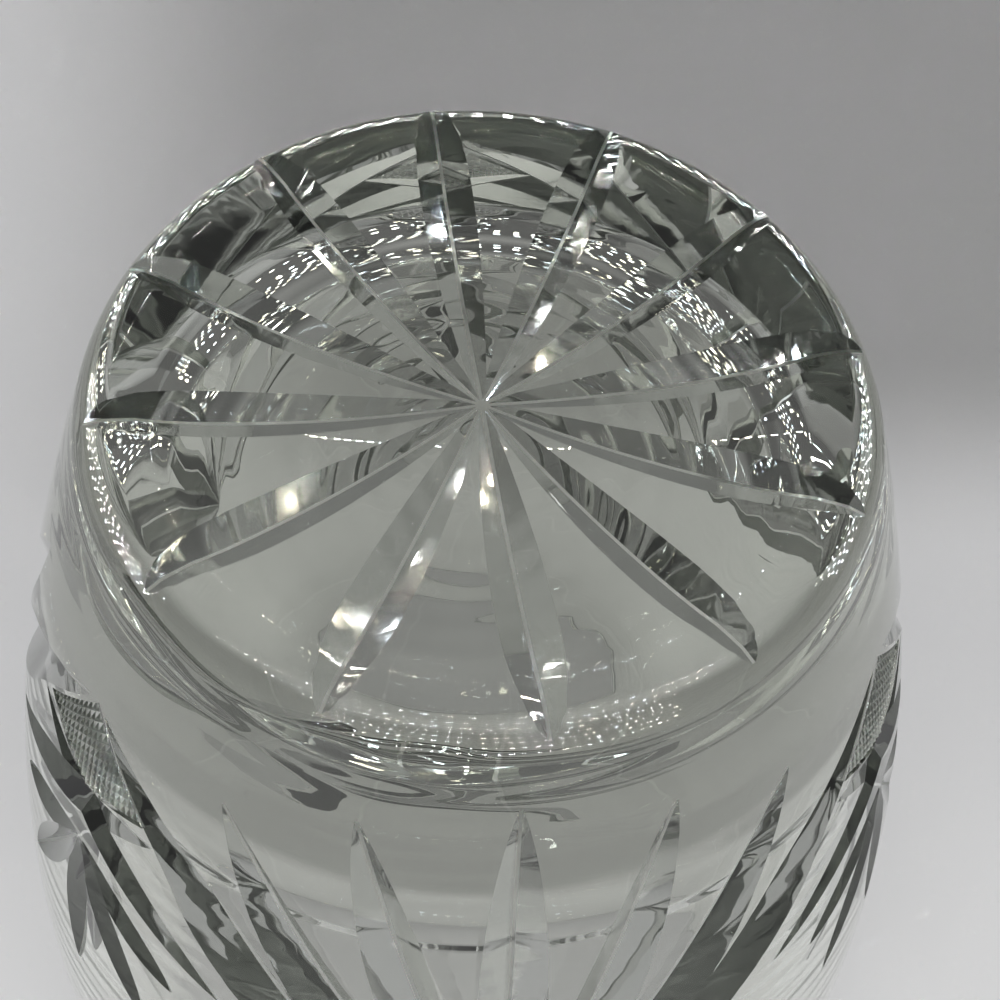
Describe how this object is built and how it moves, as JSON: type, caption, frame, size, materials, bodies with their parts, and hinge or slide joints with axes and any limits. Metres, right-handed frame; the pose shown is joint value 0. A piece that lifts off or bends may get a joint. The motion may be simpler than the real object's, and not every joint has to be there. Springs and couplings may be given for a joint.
{
  "type": "mixing glass",
  "caption": "Heavy clear cut-crystal mixing glass, stored standing on its rim: star-cut base, fans of long V cuts and hatched panels round a flared wall, small pouring lip.",
  "frame": {"origin": "centre of the rim plane, on the surface that the upturned glass stands on", "axes": "+Z along the glass's axis, from the open rim up to the star-cut base, because the glass is kept base up; -Y towards the middle of one fan of cuts; +Y towards the pouring lip"},
  "size_m": [0.0974, 0.0974, 0.15],
  "materials": {
    "crystal": "polished clear crystal with satin-bright wheel cuts"
  },
  "bodies": {
    "root": {"glass_body": "crystal"}
  },
  "joints": []
}
